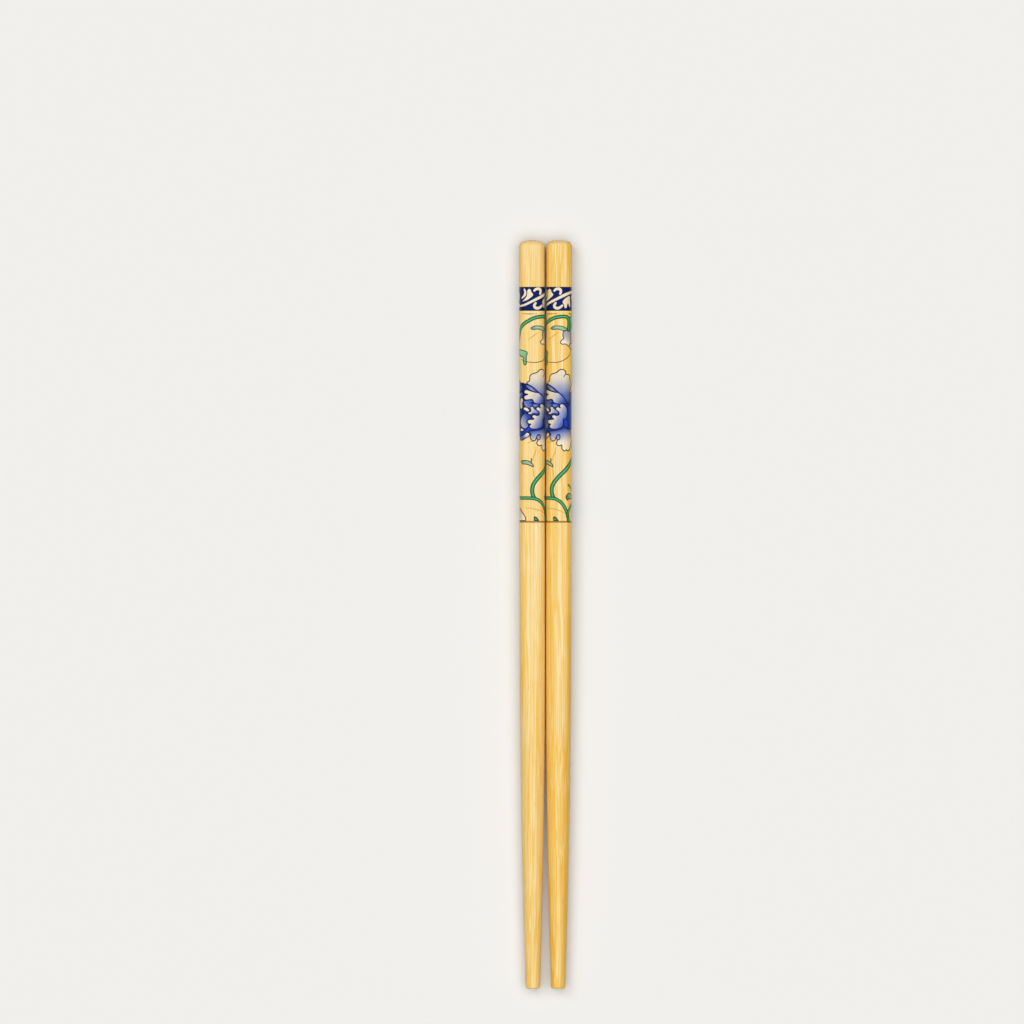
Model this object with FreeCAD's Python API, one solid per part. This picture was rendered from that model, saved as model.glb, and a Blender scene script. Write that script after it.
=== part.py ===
import FreeCAD, Part
import math
import os

# A pair of bamboo chopsticks lying side by side, in millimetres.
# X runs across the pair, Y along it towards the handle ends, and Z up from the table.

# One chopstick from end to end
stick_length = 230.0

# The handle is a square bar with rounded corners
handle_width = 7.8
handle_corner_radius = 2.2

# The width starts to fall at this distance from the handle end, down to the width at the tip
straight_length = 122.8
tip_width = 4.4

# The square corners are ground away between these distances from the handle end,
# and past the second one the section is a full circle
rounding_start = 95.0
rounding_end = 190.0

# The sections that the ground part is drawn through, about this far apart
section_spacing = 9.0

# The handle end is slightly domed, and both ends have a tumbled edge
handle_dome_radius = 16.0
handle_edge_radius = 1.4
tip_edge_radius = 0.7

# The narrow gap between the two sticks, at the handle end and where the taper starts
gap_at_handle_end = 0.6
gap_at_taper = 0.25

# On a full circle each side and each corner takes an eighth of the turn,
# so a side reaches half of that to either side of its middle
full_side_angle = math.pi / 8.0


# From 0 on the square handle to 1 on the round part, with a soft start and end
def roundness(distance):
    share = (distance - rounding_start) / (rounding_end - rounding_start)
    share = min(max(share, 0.0), 1.0)
    return share * share * (3.0 - 2.0 * share)


# Half the stick's width: constant along the handle, then a shallow parabola to the tip
def half_width(distance):
    taper_length = stick_length - straight_length
    share = max(distance - straight_length, 0.0) / taper_length
    return (handle_width - (handle_width - tip_width) * share ** 2) / 2.0


# A point of the section at this distance from the handle end, across and up from the stick's axis
def section_point(distance, across, up, quarter):
    turn = quarter * math.pi / 2.0
    x = across * math.cos(turn) - up * math.sin(turn)
    z = across * math.sin(turn) + up * math.cos(turn)
    return FreeCAD.Vector(x, stick_length / 2.0 - distance, z + handle_width / 2.0)


# Four sides and four corners that meet in tangent: straight sides with corner arcs on the handle,
# then sides that bulge and corners that widen until all eight arcs lie on one circle
def section_wire(distance):
    ground = roundness(distance)
    half = half_width(distance)
    corner = handle_corner_radius + (half - handle_corner_radius) * ground
    side_angle = full_side_angle * ground
    centre = (half - corner) / (1.0 + math.tan(side_angle / 2.0))
    join_across = centre + corner * math.cos(side_angle)
    join_up = centre + corner * math.sin(side_angle)
    corner_middle = centre + corner * math.sqrt(0.5)
    edges = []
    for quarter in range(4):
        side_start = section_point(distance, join_across, -join_up, quarter)
        side_middle = section_point(distance, half, 0.0, quarter)
        side_end = section_point(distance, join_across, join_up, quarter)
        corner_top = section_point(distance, corner_middle, corner_middle, quarter)
        corner_end = section_point(distance, join_up, join_across, quarter)
        if ground > 0.0:
            edges.append(Part.Arc(side_start, side_middle, side_end).toShape())
        else:
            edges.append(Part.makeLine(side_start, side_end))
        edges.append(Part.Arc(side_end, corner_top, corner_end).toShape())
    return Part.Wire(edges)


# The straight bar of the handle, as far as its corners keep their shape
def handle_bar():
    end_face = Part.Face(section_wire(0.0))
    return end_face.extrude(FreeCAD.Vector(0.0, -rounding_start, 0.0))


# The ground part, from the square handle to the round tip, through evenly spaced sections
def ground_part():
    ground_length = stick_length - rounding_start
    count = math.ceil(ground_length / section_spacing)
    step = ground_length / count
    wires = [section_wire(rounding_start + step * i) for i in range(count + 1)]
    return Part.makeLoft(wires, True, False)


# A point of the dome at this angle from the stick's axis
def dome_point(angle):
    across = handle_dome_radius * math.sin(angle)
    back = handle_dome_radius * (1.0 - math.cos(angle))
    return FreeCAD.Vector(across, stick_length / 2.0 - back, handle_width / 2.0)


# A round bar turned about the stick's axis, twice as wide as the handle, with the dome for its end
def turned_round():
    rim_angle = math.asin(handle_width / handle_dome_radius)
    crown = dome_point(0.0)
    rim = dome_point(rim_angle)
    along = FreeCAD.Vector(0.0, 1.0, 0.0)
    rim_foot = rim - along * stick_length
    crown_foot = FreeCAD.Vector(crown.x, rim_foot.y, crown.z)
    dome = Part.Arc(crown, dome_point(rim_angle / 2.0), rim).toShape()
    side = Part.makeLine(rim, rim_foot)
    foot = Part.makeLine(rim_foot, crown_foot)
    axis = Part.makeLine(crown_foot, crown)
    return Part.Face(Part.Wire([dome, side, foot, axis])).revolve(crown, along, 360.0)


# The handle bar with its domed end and the tumbled edge round it
def handle():
    domed = handle_bar().common(turned_round())
    end_face = max(domed.Faces, key=lambda face: face.CenterOfMass.y)
    return domed.makeFillet(handle_edge_radius, end_face.Edges)


# One chopstick lying along Y, with its underside on the table
def chopstick():
    joined = handle().fuse(ground_part()).removeSplitter()
    tip_face = min(joined.Faces, key=lambda face: face.CenterOfMass.y)
    return joined.makeFillet(tip_edge_radius, tip_face.Edges).Solids[0]


# The stick moved to one side, +1 for right and -1 for left, and turned so that the tips lean in
def placed(stick, side):
    lean = (gap_at_handle_end - gap_at_taper) / 2.0 / straight_length
    across = (handle_width + gap_at_handle_end) / 2.0 - lean * stick_length / 2.0
    moved = stick.copy()
    moved.rotate(FreeCAD.Vector(), FreeCAD.Vector(0.0, 0.0, 1.0), -side * math.degrees(math.atan(lean)))
    moved.translate(FreeCAD.Vector(side * across, 0.0, 0.0))
    return moved


stick = chopstick()
os.makedirs("parts", exist_ok=True)
placed(stick, -1).exportStep("parts/chopstick_left.step")
placed(stick, 1).exportStep("parts/chopstick_right.step")
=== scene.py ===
import math
import bpy
import bmesh
import numpy as np
from mathutils import Matrix, Vector
from mathutils.geometry import delaunay_2d_cdt


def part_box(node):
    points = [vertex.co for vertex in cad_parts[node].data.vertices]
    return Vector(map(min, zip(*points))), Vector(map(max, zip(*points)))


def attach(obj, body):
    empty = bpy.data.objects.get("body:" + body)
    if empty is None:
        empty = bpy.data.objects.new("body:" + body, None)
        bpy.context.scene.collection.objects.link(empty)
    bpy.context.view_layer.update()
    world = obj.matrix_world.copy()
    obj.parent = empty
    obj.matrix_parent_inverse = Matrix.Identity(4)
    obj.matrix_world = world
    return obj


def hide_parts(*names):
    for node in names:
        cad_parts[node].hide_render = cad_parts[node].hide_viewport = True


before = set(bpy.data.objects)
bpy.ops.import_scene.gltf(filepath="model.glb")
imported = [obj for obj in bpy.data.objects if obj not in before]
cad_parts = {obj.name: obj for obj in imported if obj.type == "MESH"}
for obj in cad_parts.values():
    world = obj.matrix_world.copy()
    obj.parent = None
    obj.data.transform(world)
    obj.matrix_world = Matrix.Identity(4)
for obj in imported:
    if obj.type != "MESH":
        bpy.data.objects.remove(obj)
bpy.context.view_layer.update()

mm = 0.001
weldDistance = 0.000001
nearZero = 1e-12

# One chopstick, in millimetres; distances run from the handle end to the tip
stick = {
    "length": (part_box("chopstick_left")[1].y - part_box("chopstick_left")[0].y) / mm,
    "handleWidth": 7.8,
    "cornerRadius": 2.2,
    "straightLength": 122.8,
    "tipWidth": 4.4,
    "roundingStart": 95.0,
    "roundingEnd": 190.0,
    "domeRadius": 16.0,
    "handleEdge": 1.4,
    "tipEdge": 0.7,
    "gapAtHandleEnd": 0.6,
    "gapAtTaper": 0.25,
    "fullSideAngle": math.pi / 8.0,      # half of a side's share of the turn, where the section is round
    "straightBelow": 0.002,              # a side with a smaller angle is drawn straight
    "sideSteps": 4,                      # facets across a side
    "cornerSteps": 8,                    # facets round a corner
    "edgeSteps": 6,                      # facets round a tumbled end edge
    "ringSpacing": 3.0,                  # along the ground part
    "handleRings": (3.0, 6.0, 9.0),      # rings of the bare wood above the print
    "domeRings": (0.75, 0.5, 0.25),      # rings of the handle's end, as shares of its width
    "tipRing": 0.5,                      # and the one of the tip
}

# The two sticks: CAD node, record slot, side of the pair, and how far the print sits to the right
# of the middle of the top face, in millimetres
sticks = [
    {"name": "printedStickLeft", "node": "chopstick_left", "slot": "bamboo_pale",
     "side": -1, "printShift": 2.2},
    {"name": "printedStickRight", "node": "chopstick_right", "slot": "bamboo_golden",
     "side": 1, "printShift": 0.0},
]

# The print: a band of film once round the handle, in millimetres from the handle end
printArea = {
    "top": 14.4,
    "borderEnd": 21.75,
    "end": 86.2,
    "margin": 1.0,               # bare wood that is meshed with the print, above and below it
    "shadeStep": 0.45,           # spacing of the points that carry a petal's shading
    "curveStep": 0.16,           # spacing of the points along a drawn curve
    "roundEndStep": 0.12,        # and round the end of a stroke
    "leastBulge": 0.01,          # an arc with less is drawn straight
    "closedWithin": 0.000001,    # a stroke whose ends are this close runs round
    "joinWithin": 0.00001,       # points this close become one
}

# Ink colours as they look in daylight
inks = {
    "cobalt": (0, 25, 94),
    "cobaltDeep": (0, 5, 40),
    "cream": (248, 234, 206),
    "ivory": (234, 224, 202),
    "white": (248, 243, 236),
    "creamGrey": (206, 202, 202),
    "lilacGrey": (170, 172, 198),
    "lilac": (140, 150, 202),
    "petalBlue": (84, 106, 184),
    "royalBlue": (36, 68, 168),
    "sapphire": (18, 62, 190),
    "deepBlue": (14, 38, 130),
    "navy": (8, 17, 84),
    "charcoal": (42, 35, 32),
    "olive": (104, 88, 38),
    "endLine": (158, 108, 10),
    "paleGold": (252, 232, 158),
    "stemDark": (10, 64, 40),
    "stemGreen": (48, 146, 96),
    "stemLight": (92, 196, 138),
    "leafPale": (176, 216, 168),
    "leafMist": (184, 212, 190),
    "leafMint": (106, 184, 132),
    "leafTeal": (44, 112, 92),
    "leafDeep": (16, 62, 44),
    "lime": (182, 212, 104),
    "amber": (212, 148, 36),
    "gold": (214, 170, 70),
    "blush": (228, 184, 160),
    "coral": (226, 122, 82),
    "rust": (168, 74, 36),
}


# The usual curve from screen values to light
def toLinear(colour):
    channels = [c / 255.0 for c in colour]
    linear = [c / 12.92 if c <= 0.04045 else ((c + 0.055) / 1.055) ** 2.4 for c in channels]
    return (*linear, 1.0)


# The stick's shape, the same as the solid's

def roundness(distance):
    share = (distance - stick["roundingStart"]) / (stick["roundingEnd"] - stick["roundingStart"])
    share = min(max(share, 0.0), 1.0)
    return share * share * (3.0 - 2.0 * share)


def halfWidth(distance):
    taperLength = stick["length"] - stick["straightLength"]
    share = max(distance - stick["straightLength"], 0.0) / taperLength
    return (stick["handleWidth"] - (stick["handleWidth"] - stick["tipWidth"]) * share ** 2) / 2.0


flatHalf = stick["handleWidth"] / 2.0 - stick["cornerRadius"]
cornerLength = stick["cornerRadius"] * math.pi / 2.0
faceLength = 2.0 * flatHalf + cornerLength
perimeter = 4.0 * faceLength
lean = (stick["gapAtHandleEnd"] - stick["gapAtTaper"]) / 2.0 / stick["straightLength"]


# Once round the stick, from the middle of its underside: up the left side, over the top from left to right,
# and down the right side. Each stop is (face number, side or corner, share of that side or corner).
def ringStops():
    sideSteps, cornerSteps = stick["sideSteps"], stick["cornerSteps"]
    stops = []
    for face in range(4):
        first = sideSteps // 2 if face == 0 else 0
        stops += [(face, "side", i / sideSteps) for i in range(first, sideSteps)]
        stops += [(face, "corner", i / cornerSteps) for i in range(cornerSteps)]
    stops += [(4, "side", i / sideSteps) for i in range(sideSteps // 2)]
    return stops


# How far round the handle a stop lies
def stopLength(stop):
    face, part, share = stop
    start = face * faceLength - flatHalf
    return start + (2.0 * flatHalf * share if part == "side" else 2.0 * flatHalf + cornerLength * share)


# The stop that lies at this length round the handle
def stopAt(length):
    face, beyond = divmod(length + flatHalf, faceLength)
    if beyond <= 2.0 * flatHalf:
        return int(face), "side", beyond / (2.0 * flatHalf)
    return int(face), "corner", (beyond - 2.0 * flatHalf) / cornerLength


# A point of a section and its normal, as (x, z) pairs from the stick's axis
def sectionPoint(stop, half, corner, ground):
    face, part, share = stop
    sideAngle = stick["fullSideAngle"] * ground
    centre = (half - corner) / (1.0 + math.tan(sideAngle / 2.0))
    if part == "corner":
        angle = sideAngle + (math.pi / 2.0 - 2.0 * sideAngle) * share
        out = centre + corner * math.cos(angle)
        along = centre + corner * math.sin(angle)
    elif sideAngle < stick["straightBelow"]:
        angle = 0.0
        out = half
        along = (centre + corner * math.sin(sideAngle)) * (2.0 * share - 1.0)
    else:
        angle = sideAngle * (2.0 * share - 1.0)
        sideRadius = half + corner * (math.sin(sideAngle) - math.cos(sideAngle))
        sideRadius /= 1.0 + math.sin(sideAngle) - math.cos(sideAngle)
        out = half - sideRadius + sideRadius * math.cos(angle)
        along = sideRadius * math.sin(angle)
    turn = face * math.pi / 2.0
    outward = Vector((-math.sin(turn), -math.cos(turn)))
    onward = Vector((-math.cos(turn), math.sin(turn)))
    return outward * out + onward * along, outward * math.cos(angle) + onward * math.sin(angle)


# A point of the long surface and its normal, at a stop and a distance from the handle end
def surfacePoint(stop, distance):
    ground = roundness(distance)
    half = halfWidth(distance)
    corner = stick["cornerRadius"] + (half - stick["cornerRadius"]) * ground
    return sectionPoint(stop, half, corner, ground)


# A stick's own millimetres to the pair's metres
def placed(side, across, distance, up):
    along = stick["length"] / 2.0 - distance
    middle = (stick["handleWidth"] + stick["gapAtHandleEnd"]) / 2.0 - lean * stick["length"] / 2.0
    x = side * (middle + lean * along) + across
    y = along - side * lean * across
    return Vector((x, y, up + stick["handleWidth"] / 2.0)) * mm


# Drawing on the film: u runs to the right round the stick from the middle of the right stick's top face,
# v runs from the handle end towards the tip, both in millimetres

# A smooth curve through the points
def curve(points, closed=False):
    count = len(points)
    made = []
    for i in range(count if closed else count - 1):
        around = [(i + k) % count if closed else min(max(i + k, 0), count - 1) for k in (-1, 0, 1, 2)]
        before, start, end, after = (points[k] for k in around)
        steps = max(2, math.ceil(math.dist(start, end) / printArea["curveStep"]))
        for s in range(steps):
            t = s / steps
            weights = (-t + 2 * t * t - t ** 3, 2 - 5 * t * t + 3 * t ** 3,
                       t + 4 * t * t - 3 * t ** 3, -t * t + t ** 3)
            made.append(tuple(sum(w * p[k] for w, p in zip(weights, (before, start, end, after))) / 2.0
                              for k in (0, 1)))
    if not closed:
        made.append(tuple(points[-1]))
    return made


# A closed outline of arcs: each corner is (u, v, bulge), and the bulge is how far the arc to the next corner
# swells to the left of its way, as a share of half its length
def arcs(corners):
    made = []
    for (u, v, bulge), following in zip(corners, corners[1:] + corners[:1]):
        start, end = Vector((u, v)), Vector(following[:2])
        chord = end - start
        if abs(bulge) < printArea["leastBulge"]:
            made.append((u, v))
            continue
        sweep = 4.0 * math.atan(bulge)
        radius = chord.length / 2.0 / math.sin(sweep / 2.0)
        aside = Vector((chord.y, -chord.x)).normalized()
        centre = (start + end) / 2.0 - aside * radius * math.cos(sweep / 2.0)
        spoke = start - centre
        steps = max(3, math.ceil(abs(sweep * radius) / printArea["curveStep"]))
        for s in range(steps):
            turned = spoke.copy()
            turned.rotate(Matrix.Rotation(sweep * s / steps, 2))
            made.append(tuple(centre + turned))
    return made


shapes = []


def fill(outline, paint):
    shapes.append({"outline": outline, "paint": paint, "cover": 1.0, "widths": None})


def stroke(path, width, paint, cover=1.0, taper=0.0):
    count = len(path) - 1
    widths = []
    for i in range(count + 1):
        fromEnd = min(i, count - i) / max(count, 1) * 2.0
        widths.append(width * (1.0 - taper * (1.0 - fromEnd)))
    shapes.append({"outline": path, "paint": paint, "cover": cover, "widths": widths})


def outlined(outline, paint, line, width):
    fill(outline, paint)
    stroke(outline + outline[:1], width, line)


# Border: pale scrolls on cobalt, drawn twice round the stick. A scroll has its points, its width and how much
# it narrows to its ends, and one with no width is a filled shape.
border = {
    "edgeLines": ((0.1, 0.22), (-0.12, 0.26)),     # distance from the upper and the lower edge, and width
    "scrolls": [
        # vine, hook, cup and curl
        ([(-5.6, 20.2), (-4.4, 19.9), (-3.2, 19.35), (-1.6, 18.55), (0, 17.75), (1.6, 16.95), (3.0, 16.35),
          (4.2, 16.0), (5.4, 15.8), (6.3, 16.1), (6.8, 16.8), (6.75, 17.8), (6.3, 18.6)], 0.88, 0.3),
        ([(-1.45, 15.55), (-0.95, 15.1), (-0.15, 14.98), (0.38, 15.3), (0.52, 15.95), (0.32, 16.5)],
         0.9, 0.25),
        ([(-1.1, 19.4), (-1.5, 20.1), (-1.2, 20.75), (-0.45, 20.95), (0.35, 20.65), (0.95, 20.15)],
         0.92, 0.25),
        ([(-4.55, 15.15), (-4.25, 16.1), (-4.5, 17.0), (-5.3, 17.8)], 0.78, 0.4),
        # fan and arch
        ([(-3.6, 15.5), (-3.15, 15.05), (-2.6, 15.25), (-2.35, 16.0), (-1.85, 16.65), (-2.0, 17.15),
          (-2.8, 17.85), (-3.8, 18.5), (-5.2, 18.85), (-4.5, 18.2), (-3.85, 17.3), (-3.65, 16.4)],
         None, None),
        ([(1.95, 20.95), (1.58, 20.6), (1.5, 19.9), (1.08, 19.2), (1.3, 18.55), (1.9, 17.95), (2.6, 17.45),
          (3.2, 17.2), (3.5, 17.5), (3.48, 18.3), (3.58, 19.3), (3.6, 20.2), (3.4, 20.6), (3.12, 20.3),
          (2.92, 19.6), (2.64, 19.55), (2.42, 20.2), (2.3, 20.8)], None, None),
        # small scroll and tail
        ([(5.6, 17.3), (5.2, 17.0), (4.7, 17.3), (4.55, 18.0), (4.9, 18.6)], 0.6, 0.3),
        ([(5.3, 19.7), (6.3, 20.2), (7.4, 20.3), (8.5, 20.1)], 0.5, 0.3),
    ],
    "leaf": [(4.9, 19.35), (5.6, 18.85), (6.5, 19.3), (7.3, 19.75), (7.2, 20.3), (6.3, 20.75), (5.4, 20.65),
             (4.9, 20.15)],
    "leafShade": (18.8, 20.8),                     # where the leaf's shading starts and ends
}


def drawBorder():
    top, end = printArea["top"], printArea["borderEnd"]
    fill([(0, top), (perimeter, top), (perimeter, end), (0, end)], "cobalt")
    for edge, (inward, width) in zip((top, end), border["edgeLines"]):
        stroke([(0, edge + inward), (perimeter, edge + inward)], width, "cobaltDeep")
    shadeTop, shadeEnd = border["leafShade"]
    for offset in (0.0, perimeter / 2.0):
        cream = ((offset, top), (offset, end), ["cream", "ivory"])
        for points, width, taper in border["scrolls"]:
            moved = [(u + offset, v) for u, v in points]
            if width:
                stroke(curve(moved), width, cream, taper=taper)
            else:
                fill(curve(moved, True), cream)
        leaf = [(u + offset, v) for u, v in border["leaf"]]
        fill(curve(leaf, True), ((offset, shadeTop), (offset, shadeEnd), ["creamGrey", "cream"]))


# The lines that close the print above and below the flowers
edgeLines = {
    "gold": {"along": 21.95, "width": 0.38, "cover": 0.75},
    "olive": {"runs": ((-5.5, -0.4), (2.9, 5.2), (7.0, 12.6), (14.5, 18.6)), "along": (22.62, 22.7, 22.6),
              "width": 0.32, "cover": 0.8, "taper": 0.8},
    "rust": {"points": [(3.05, 22.5), (3.6, 22.8), (4.3, 22.6)], "width": 0.5, "cover": 0.75, "taper": 0.6},
    "last": {"beyond": 0.3, "width": 0.56, "cover": 0.9},
}


def drawEdgeLines():
    gold, olive, rust, last = edgeLines.values()
    stroke([(0, gold["along"]), (perimeter, gold["along"])], gold["width"], "paleGold", gold["cover"])
    for start, end in olive["runs"]:
        points = list(zip((start, (start + end) / 2, end), olive["along"]))
        stroke(curve(points), olive["width"], "olive", olive["cover"], olive["taper"])
    stroke(curve(rust["points"]), rust["width"], "rust", rust["cover"], rust["taper"])
    along = printArea["end"] + last["beyond"]
    stroke([(0, along), (perimeter, along)], last["width"], "endLine", last["cover"])


# Fine gold veins in the ground of the print
veins = {
    "width": 0.27,
    "cover": 0.85,
    "taper": 0.5,
    "lines": [
        [(-3.3, 30.6), (-1.7, 29.4), (-0.1, 28.3)],
        [(-0.9, 63.6), (-1.2, 65.2), (-1.8, 66.6), (-2.1, 67.9)],
        [(-2.0, 69.8), (-1.8, 71.4), (-1.5, 72.9)],
        [(-4.2, 82.2), (-2.2, 82.5), (-0.2, 82.9), (1.7, 83.8)],
        [(-3.6, 62.4), (-2.6, 61.9), (-1.6, 61.9)],
        [(10.6, 66.0), (11.6, 68.2), (13.4, 69.8)],
    ],
}


def drawVeins():
    for points in veins["lines"]:
        stroke(curve(points), veins["width"], "amber", veins["cover"], veins["taper"])


# Stems and leaves

stems = {
    "arch": ([(-13.4, 45.5), (-12.9, 42.0), (-11.5, 38.8), (-9.6, 36.0), (-8.1, 33.4), (-7.2, 31.0),
              (-6.6, 29.0), (-6.2, 27.6), (-5.3, 26.3), (-4.2, 25.4), (-3.2, 24.8), (-2.1, 24.2),
              (-1.0, 23.8), (0.1, 23.6), (1.2, 23.5), (2.2, 23.6), (2.85, 24.0), (3.12, 24.8), (3.12, 26.0),
              (3.0, 27.6)], 0.98),
    "flowerStem": ([(5.5, 56.5), (6.8, 58.0), (7.5, 60.0), (7.4, 62.0), (6.7, 64.0), (5.5, 66.2),
                    (4.4, 67.6), (3.2, 69.2), (1.95, 70.7), (0.5, 72.1), (-0.8, 73.5), (-1.7, 74.8),
                    (-2.15, 76.0), (-2.2, 77.3), (-1.95, 78.5), (-1.5, 79.3)], 1.06),
    "ground": ([(-13.2, 63.0), (-12.7, 66.5), (-11.7, 70.0), (-10.8, 73.2), (-10.0, 76.0), (-8.9, 78.0),
                (-7.5, 78.95), (-5.8, 79.2), (-4.2, 79.2), (-2.8, 79.25), (-1.5, 79.4), (-0.5, 79.75),
                (0.5, 80.4), (1.3, 81.3), (2.0, 82.5), (2.5, 83.8), (2.8, 85.0), (3.05, 86.2)], 0.88),
    "branch": ([(2.72, 84.6), (3.1, 83.0), (4.2, 81.5), (5.4, 80.6), (6.5, 79.9)], 0.7),
    "twig": ([(3.0, 75.2), (3.9, 76.0), (4.9, 77.2), (6.0, 78.8)], 0.5),
}

leaves = [
    # outline, from colour, to colour, outline colour
    ([(-2.55, 27.15), (-1.9, 26.6), (-1.0, 26.4), (0.2, 26.45), (1.3, 26.65), (2.4, 27.2), (2.5, 27.6),
      (1.8, 27.9), (0.7, 27.65), (-0.6, 27.35), (-1.8, 27.5)],
     ["petalBlue", "leafMist", "leafPale", "leafMint"], "leafTeal"),
    ([(-7.9, 34.6), (-6.6, 33.7), (-5.2, 33.9), (-4.1, 34.2), (-3.65, 34.7), (-3.95, 36.0), (-3.9, 37.7),
      (-4.4, 38.4), (-4.9, 37.5), (-4.85, 36.2), (-6.0, 35.6)],
     ["leafMint", "leafPale", "leafMint"], "leafTeal"),
    ([(-5.7, 67.9), (-4.4, 67.7), (-3.3, 67.9), (-2.5, 68.4), (-1.95, 69.0), (-1.9, 69.6), (-2.8, 69.2),
      (-4.0, 68.8), (-5.2, 68.7)], ["leafMint", "leafMist", "leafMist"], "leafDeep"),
    ([(2.2, 79.0), (2.5, 78.2), (3.3, 77.8), (4.4, 78.1), (5.6, 78.4), (5.5, 79.2), (4.2, 79.4),
      (3.2, 79.4), (2.65, 79.85)], ["leafTeal", "leafMist", "leafTeal"], "leafDeep"),
    ([(-1.6, 86.15), (-1.6, 86.15), (-1.6, 85.0), (-1.6, 85.0), (-1.1, 85.05), (-0.6, 85.6), (-0.2, 86.15),
      (-0.2, 86.15)], ["leafMint", "leafTeal"], "leafDeep"),
    ([(5.7, 34.2), (7.4, 33.8), (9.4, 34.4), (11.6, 36.2), (12.4, 38.6), (11.2, 40.2), (9.2, 39.6),
      (7.3, 39.2), (6.9, 38.1), (5.8, 37.3)], ["leafPale", "leafMint", "leafTeal"], "leafDeep"),
    ([(5.4, 41.0), (6.0, 40.0), (7.4, 39.5), (9.4, 39.7), (11.2, 40.4), (11.9, 41.8), (10.6, 43.0),
      (8.8, 43.4), (7.2, 43.3), (6.0, 42.7)], ["leafMint", "stemGreen"], "leafDeep"),
    ([(6.0, 67.2), (7.2, 66.2), (8.2, 65.2), (9.6, 63.6), (11.0, 64.6), (11.4, 66.8), (10.2, 69.0),
      (8.4, 69.2), (6.8, 69.8)], ["leafPale", "leafMint", "leafTeal"], "leafDeep"),
    ([(15.0, 71.0), (13.2, 70.6), (11.8, 71.6), (11.2, 73.4), (12.6, 73.9), (14.2, 73.4), (15.8, 72.6)],
     ["leafPale", "leafMint"], "leafDeep"),
    ([(17.3, 33.8), (15.2, 32.2), (13.2, 32.0), (11.8, 33.2), (12.8, 34.8), (14.6, 35.4), (16.4, 35.3)],
     ["leafMint", "leafTeal"], "leafDeep"),
]


# The inks of a stem from the back: ink, share of the stem's width, and how much it narrows to its ends
stemInks = (("stemDark", 1.2, 0.0), ("stemGreen", 0.68, 0.0), ("stemLight", 0.3, 0.5))

# A thin stem that is one olive line
tendril = {
    "points": [(-5.6, 36.6), (-4.6, 37.1), (-3.4, 37.45), (-2.0, 37.6), (-0.6, 37.55), (0.8, 37.2),
               (1.9, 36.6), (2.9, 35.8), (3.6, 34.8), (4.0, 33.6), (4.1, 32.6)],
    "width": 0.27,
    "taper": 0.3,
}


def drawStems():
    stroke(curve(tendril["points"]), tendril["width"], "olive", taper=tendril["taper"])
    for points, width in stems.values():
        for ink, share, taper in stemInks:
            stroke(curve(points), width * share, ink, taper=taper)


leafLines = {
    "edge": 0.31,
    "rib": {"width": 0.16, "sag": 0.1, "cover": 0.75, "taper": 0.7},
    "stalk": {"points": [(-2.5, 67.1), (-2.42, 67.6), (-2.5, 68.1)], "width": 0.34},
}


def drawLeaves():
    rib, stalk = leafLines["rib"], leafLines["stalk"]
    for points, shades, line in leaves:
        start, end = points[0], points[len(points) // 2]
        outlined(curve(points, True), (start, end, shades), line, leafLines["edge"])
        middle = ((start[0] + end[0]) / 2, (start[1] + end[1]) / 2 - rib["sag"])
        stroke(curve([start, middle, end]), rib["width"], line, rib["cover"], rib["taper"])
    stroke(curve(stalk["points"]), stalk["width"], "leafDeep")


# Flowers

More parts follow.
